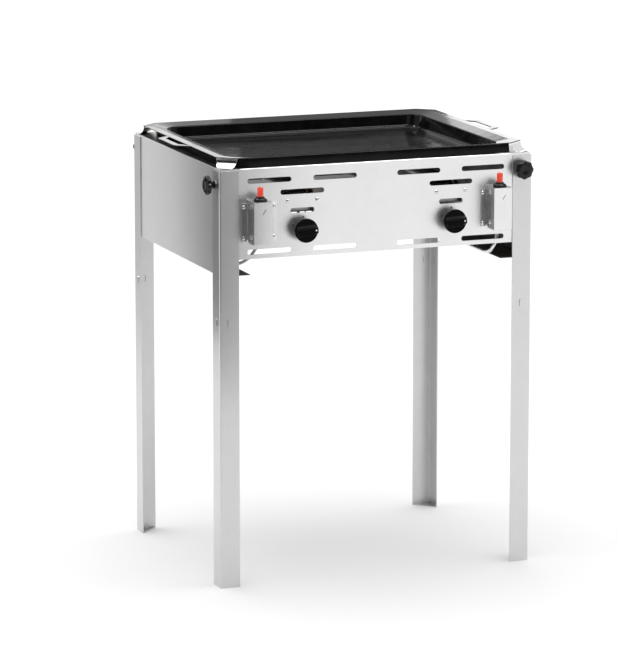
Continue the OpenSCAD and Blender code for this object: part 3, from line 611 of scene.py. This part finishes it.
def build_gas_knob(s):
    side = SIDES[s]
    x0 = SIGNS[s] * KNOB_X

    def place(x, y, height):
        return (x0 + x, -height, KNOB_Z - y)

    shape = Shape()
    shape.turn([(7, 271), (7, 266.2), (13.5, 266.2), (13.5, 262.5), (15.6, 262.5), (16, 263), (16, 271.6), (17, 273),
                (21.6, 277), (23, 278.6), (23.5, 279.6), (23.5, 281.8), (23.2, 282.7), (22.4, 283.3), (21.4, 283.5),
                (0.2, 283.6)], place, 96)
    lean, steps = math.radians(5), 12
    grip_r, crown = 21.9, 289.5       # the grip ends on that circle, and draws in beyond that height
    rings = []
    for half, height in GRIP:
        curve = []
        for end in (1, -1):
            for k in range(steps + 1):
                y = end * half * (1 - 2 * k / steps)
                reach = math.sqrt(grip_r ** 2 - y * y) - 0.5 * max(0.0, height - crown) ** 1.2
                curve.append((end * reach, y))
        rings.append([place(x * math.cos(lean) - y * math.sin(lean),
                            -(x * math.sin(lean) + y * math.cos(lean)), height) for x, y in curve])
    shape.loft(rings)
    even_normals(make("gas_knob_cap_" + side, shape, "gas_knob_" + side, "black_plastic",
                      replaces=["gas_knob_" + side]))


def build_return_spring(s):
    """The spring between a spindle's collar and the tap's rotor. The real one is squeezed as the knob is pushed in;
    this one rides on the tap plug unchanged.
    """
    side = SIDES[s]
    x0 = SIGNS[s] * KNOB_X
    collar, rotor, push, slack = -257.0, -243.5, 3.0, 0.1
    wire, coil, turns, steps = 0.55, 5.2, 5, 20
    line = []
    for k in range(turns * steps + 1):
        angle = 2 * math.pi * k / steps
        along = collar + wire + (rotor - collar - 2 * wire) * k / (turns * steps)
        line.append((x0 + coil * math.cos(angle), along, KNOB_Z - coil * math.sin(angle)))
    shape = Shape()
    shape.sweep(line, wire, 10)
    piece = make("return_spring_" + side, shape, "tap_plug_" + side, "zinc_steel",
                 replaces=["tap_spring_" + side])
    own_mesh(piece)


IGNITER_X, BUTTON_Y, BOX_TOP, BOX_FRONT = 248.5, -280.0, 762.5, 298.0


def build_collars():
    shape = Shape()
    for sign in SIGNS:
        def place(x, y, height):
            return (sign * IGNITER_X + x, BUTTON_Y + y, BOX_TOP + height)

        def knurl(radius, angle):
            """24 shallow grooves, on the widest part only."""
            return radius - (0.35 + 0.35 * math.cos(24 * angle) if radius > 12.2 else 0)

        shape.turn([(8.1, 0), (12.5, 0), (13, 0.5), (13, 3.2), (12.6, 3.9), (11.9, 4.4), (9.9, 6.2), (9.2, 6.5),
                    (8.1, 6.5)], place, 96, knurl)
    make("button_collars", shape, "root", "matt_plastic", replaces=["igniter_collars"])


def build_button(s):
    side = SIDES[s]

    def place(x, y, height):
        return (SIGNS[s] * IGNITER_X + x, BUTTON_Y + y, height)

    shape = Shape()
    shape.turn([(0.2, 731), (5.4, 731), (5.8, 731.5), (5.8, 786.6), (5.7, 787.8), (5.3, 788.9), (4.5, 789.6),
                (3.4, 789.95), (2, 790), (0.2, 789.9)], place, 48)
    piece = make("button_cap_" + side, shape, "igniter_button_" + side, "orange_plastic",
                 replaces=["igniter_button_" + side])
    piece.visible_glossy = False      # the panel behind would show it as a pink stain


# ---------------------------------------------------------------- leads, tubes and screws

ELECTRODE_X, ELECTRODE_Y, LEAD_END = 199.5, -158.0, 728.5
LEAD_R, TUBE_R, RISER_R, CAPILLARY_R = 3, 4, 3, 1.2
TAP_INLET_Y, TAP_OUTLET_Y = -225, -235
# Middle lines of the leads and the supply tube. The left lead is drawn as if it were on the right
LEAD_LEFT = [(248.5, -280, 705.5), (248.5, -280, 698), (246, -272, 690), (240, -257.5, 688), (239, -247, 677),
             (246, -241, 661), (258, -238, 645), (278, -236, 636), (298, -222, 640), (304, -200, 655),
             (290, -182, 680), (250, -170, 700), (215, -160, 708), (ELECTRODE_X + 2, ELECTRODE_Y, 717),
             (ELECTRODE_X, ELECTRODE_Y, LEAD_END - 5), (ELECTRODE_X, ELECTRODE_Y, LEAD_END)]
LEAD_RIGHT = [(248.5, -280, 705.5), (248.5, -280, 698), (246, -272, 690), (240, -257.5, 688), (237, -250, 690),
              (229, -248, 703), (223, -236, 716), (216, -205, 722), (207, -175, 720),
              (ELECTRODE_X, ELECTRODE_Y + 2, 719), (ELECTRODE_X, ELECTRODE_Y, LEAD_END - 5),
              (ELECTRODE_X, ELECTRODE_Y, LEAD_END)]
SUPPLY = [(250, 246, 622), (250, 120, 622), (250, -60, 622), (250, -180, 622), (250, -208, 622.5),
          (251, -226, 627), (255, -237, 638), (260, -240, 654), (261, -240, 674), (254, -237, 689),
          (238, -229, 697.5), (218, -225.5, 699.7), (195, -225, 699.7), (171.5, -225, 699.7)]


def build_leads():
    leads, boots = Shape(), Shape()
    for route in ([(-x, y, z) for x, y, z in LEAD_LEFT], LEAD_RIGHT):
        leads.sweep(smooth_path(route, 8), LEAD_R, 16)
        x, y, _ = route[0]
        boots.sweep([route[0], (x, y, 703.5), (x, y, 699)], [4.6, 4.4, 3.3], 20)
    make("spark_leads", leads, "root", "lead_sleeve", replaces=["ignition_leads"])
    make("lead_boots", boots, "root", "matt_plastic")


def build_tubes():
    shape = Shape()
    shape.sweep(smooth_path(SUPPLY, 8), TUBE_R, 24)
    shape.sweep([(x, TAP_INLET_Y, KNOB_Z) for x in (-137.5, -60, 0, 60, 137.5)], TUBE_R, 24)
    for sign in SIGNS:
        shape.sweep([(sign * KNOB_X, TAP_OUTLET_Y, z) for z in (712.7, 720, 732, 743)], RISER_R, 20)
    make("supply_tubes", shape, "root", "aluminium", replaces=["gas_tubes"])


def build_probes():
    shape = Shape()
    line = [(45, -158, 735), (45, -158, 725), (41, -161, 713), (27, -168, 703.7), (8, -176, 699.7),
            (1, -190, 699.7), (0, -205, 699.7)]
    reach, probe_y, start = line[0]
    tip = [(start, 2.5), (750, 2.5), (762, 2.5), (763.6, 2.2), (764.6, 1.5), (765, 0.4)]
    for sign in SIGNS:
        # both probes stand inside their burner's loop, on the side towards the middle
        x0, inwards = sign * KNOB_X, -sign
        shape.sweep(smooth_path([(x0 + inwards * x, y, z) for x, y, z in line], 8), CAPILLARY_R, 12)
        shape.sweep([(x0 + inwards * reach, probe_y, z) for z, _ in tip], [r for _, r in tip], 20)
    make("probe_lines", shape, "root", "copper", replaces=["thermocouples"])


SHANK_R, HEAD_R, DOME_R, DOME = 2, 3.6, 3.75, 2.2
CROSS_HALF, CROSS_REACH, CROSS_DEEP = 0.42, 2.0, 1.1


def screw(shape, x, z, seat, length):
    """A pan-head screw driven along +Y, with a cross recess in its dome."""
    sides, steps = 40, 22

    def place(u, v, height):
        return (x + u, -height, z + v)

    def head(u, v):
        r = math.hypot(u, v)
        dome = DOME * math.sqrt(max(0.0, 1 - (r / DOME_R) ** 2)) ** 0.7
        near, far = sorted((abs(u), abs(v)))
        return seat + dome - (CROSS_DEEP if near < CROSS_HALF and far < CROSS_REACH else 0)

    def ring(r, height_of):
        return [place(r * math.cos(a), r * math.sin(a), height_of(r * math.cos(a), r * math.sin(a)))
                for a in ring_angles(sides)]

    rings = [ring(SHANK_R, lambda u, v: seat - length), ring(SHANK_R, lambda u, v: seat),
             ring(HEAD_R, lambda u, v: seat)]
    shape.loft(rings + [ring(HEAD_R * (1 - k / steps), head) for k in range(steps)])


def build_screws():
    box, bracket = Shape(), Shape()
    for sign, holes in zip(SIGNS, ((-27, 35), (-27, 27))):
        for hole in holes:
            for z in (749, 689):
                screw(box, sign * IGNITER_X + hole, z, 259.5, 7)
        for d in SIGNS:
            screw(bracket, sign * KNOB_X + d * 30.3, 756, 258, 6)
    make("box_screw_set", box, "root", "screw_steel", replaces=["box_screws"])
    make("bracket_screw_set", bracket, "root", "screw_steel", replaces=["bracket_screws"])


def build_marks():
    """Small printed position dots by each knob, and a slanted dash on each igniter box."""
    shape = Shape()
    slant, dash_half, dash_r, sides = math.radians(56), 5.2, 0.6, 24
    for sign in SIGNS:
        for dx, dz in ((1.5, 23.6), (-19, 8.2)):
            def place(u, v, height):
                return (sign * KNOB_X + dx + u, -height, KNOB_Z + dz + v)
            shape.turn([(2.0, 257.9), (2.0, 258.2), (1.6, 258.4), (0.1, 258.45)], place, sides)

        def dash(u, v, height):
            along = Vector((math.cos(slant), math.sin(slant)))
            p = along * u + Vector((-along.y, along.x)) * v
            return (sign * IGNITER_X + 2 + p.x, -height, 744 + p.y)

        def end(angle):
            return dash_half if -90 <= math.degrees(angle) - 360 * (angle > math.pi) < 90 else -dash_half

        shape.loft([[dash(end(a) + r * math.cos(a), r * math.sin(a), BOX_FRONT + proud) for a in ring_angles(sides)]
                    for r, proud in ((dash_r, -0.2), (dash_r, 0.02), (dash_r - 0.1, 0.04))])
    make("position_marks", shape, "root", "mark_paint")


# ---------------------------------------------------------------- burners

LOOP_X, LOOP_Z, LOOP_R = 66, 745, 12  # a burner tube's middle line beside the burner's own, and its radius
PORTS, PORT_START, PORT_RUN, PORT_R = 24, -96, 242, 1.1
PORT_LEAN = math.radians(28)          # outwards from straight up


def build_burner(s):
    """The CAD burner with its flame ports cut through the top of the loop."""
    side = SIDES[s]
    x0 = SIGNS[s] * KNOB_X
    ports = Shape()
    for m in SIGNS:
        for k in range(PORTS):
            y = PORT_START + k * PORT_RUN / (PORTS - 1)
            top = Vector((x0 + m * LOOP_X + m * LOOP_R * math.sin(PORT_LEAN), y,
                          LOOP_Z + LOOP_R * math.cos(PORT_LEAN)))
            axis = Vector((m * math.sin(PORT_LEAN), 0, math.cos(PORT_LEAN)))
            ports.sweep([top - axis * 4, top + axis * 3], PORT_R, 8)
    cutter_mesh = bpy.data.meshes.new("cutter")
    cutter_mesh.from_pydata([Vector(p) * MM for p in ports.points], [], ports.faces)
    cutter = link("cutter", cutter_mesh)
    piece = link("burner_tube_" + side, nodes["burner_" + side].data.copy())
    weld(piece)
    cut = piece.modifiers.new("ports", "BOOLEAN")
    cut.object = cutter
    cut.operation = "DIFFERENCE"
    cut.solver = "EXACT"
    bpy.context.view_layer.update()
    done = bpy.data.meshes.new_from_object(piece.evaluated_get(bpy.context.evaluated_depsgraph_get()))
    piece.modifiers.clear()
    piece.data = done
    bpy.data.objects.remove(cutter)
    piece.data.materials.clear()
    piece.data.materials.append(MATERIALS["burner_steel"])
    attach(piece, "root")
    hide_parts("burner_" + side)
    soften(piece, 0)


# ---------------------------------------------------------------- assembly

for name, node in nodes.items():
    for key, (finish, width) in NODE_FINISH.items():
        if name.startswith(key):
            node.data.materials.clear()
            node.data.materials.append(MATERIALS[finish])
            soften(node, width)
            break

build_pan()
build_feet()
for corner_index in range(4):
    build_star_knob(corner_index)
for side_index in range(2):
    build_gas_knob(side_index)
    build_return_spring(side_index)
    build_button(side_index)
    build_burner(side_index)
build_collars()
build_leads()
build_tubes()
build_probes()
build_screws()
build_marks()

# ---------------------------------------------------------------- studio


def emitter(name, color, strength):
    material = bpy.data.materials.new(name)
    material.use_nodes = True
    tree = material.node_tree
    tree.nodes.clear()
    glow = tree.nodes.new("ShaderNodeEmission")
    glow.inputs["Color"].default_value = (color, color, color, 1)
    glow.inputs["Strength"].default_value = strength
    tree.links.new(glow.outputs["Emission"], tree.nodes.new("ShaderNodeOutputMaterial").inputs["Surface"])
    return material


def card(name, centre, right, up, shade, strength):
    """A studio card seen only in reflections: half sizes along right and up."""
    centre, right, up = Vector(centre), Vector(right), Vector(up)
    mesh = bpy.data.meshes.new(name)
    mesh.from_pydata([centre - right - up, centre + right - up, centre + right + up, centre - right + up], [],
                     [(0, 1, 2, 3)])
    mesh.materials.append(emitter(name, shade, strength))
    piece = link(name, mesh)
    piece.visible_camera = False
    piece.visible_diffuse = False
    piece.visible_shadow = False
    piece.visible_transmission = False


# Name, centre, half sizes along right and up in metres, shade and strength
CARDS = (
    ("grey_card_back_left", (-1.6, 2.2, 0.66), (1.4, 0.3, 0), (0, 0, 0.66), 0.62, 1.0),
    ("dark_card_leg", (-0.66, 0.2, 0.74), (0.20, 0, 0), (0, 0, 0.34), 0.02, 1.0),
    ("grey_card_front", (-0.71, -0.85, 0.75), (0.63, 0.05, 0), (0, 0, 0.45), 0.10, 1.0),
    ("dark_card_low_left", (-0.43, -2.0, 0.40), (0.40, 0, 0), (0, 0, 0.38), 0.02, 1.0),
    ("dark_card_left", (-2.2, -2.6, 1.1), (1.5, -0.6, 0), (0, 0, 1.4), 0.06, 1.0),
    ("dark_card_foot", (-1.5, -0.8, 1.65), (0.25, -0.45, 0), (0.15, 0.18, 0.42), 0.03, 1.0),
    ("dark_card_front", (1.4, -4.6, 2.6), (3.2, 0, 0), (0, 0, 1.5), 0.06, 1.0),
    ("flag_behind_pan", (0.17, 0.5, 0.893), (0.29, 0, 0), (0, 0, 0.033), 0.01, 1.0),
    ("light_left_flange", (-0.14, 0.5, 0.98), (0.13, 0, 0), (0, 0, 0.09), 1.0, 2.2),
    ("light_right_flange", (0.60, 0.5, 0.98), (0.19, 0, 0), (0, 0, 0.09), 1.0, 2.6),
    ("strip_card_top", (0.2, -1.6, 2.5), (1.3, 0, 0), (0, 0.16, 0.12), 1.0, 12.0),
    ("strip_card_over", (0.7, -0.45, 2.4), (0.6, 0, 0), (0, 0.22, 0), 1.0, 9.0),
    ("spot_card_left", (-0.95, 0.45, 2.2), (0.12, 0.12, 0), (0.1, -0.1, 0.1), 1.0, 40.0),
)


def build_floor():
    mesh = bpy.data.meshes.new("studio_floor")
    reach = 60
    mesh.from_pydata([(-reach, -reach, 0), (reach, -reach, 0), (reach, reach, 0), (-reach, reach, 0)], [],
                     [(0, 1, 2, 3)])
    paper = Finish("studio_paper", Roughness=0.9)
    paper.color(paper.blend(paper.remap(paper.noise(3), 0, 1), (0.905, 0.905, 0.905), (0.915, 0.915, 0.915)))
    mesh.materials.append(paper.material)
    link("studio_floor", mesh)


def build_lights():
    world = bpy.data.worlds.new("studio_world")
    world.use_nodes = True
    background = world.node_tree.nodes["Background"]
    background.inputs["Color"].default_value = (1, 1, 1, 1)
    background.inputs["Strength"].default_value = 0.84
    bpy.context.scene.world = world

    sun = bpy.data.lights.new("overhead", "SUN")
    sun.energy = 1.25
    sun.angle = math.radians(75)
    link("overhead", sun).rotation_euler = (math.radians(-10), math.radians(-1), 0)


build_floor()
build_lights()
for row in CARDS:
    card(*row)
bpy.context.scene.view_settings.view_transform = "Standard"
bpy.context.scene.view_settings.look = "None"
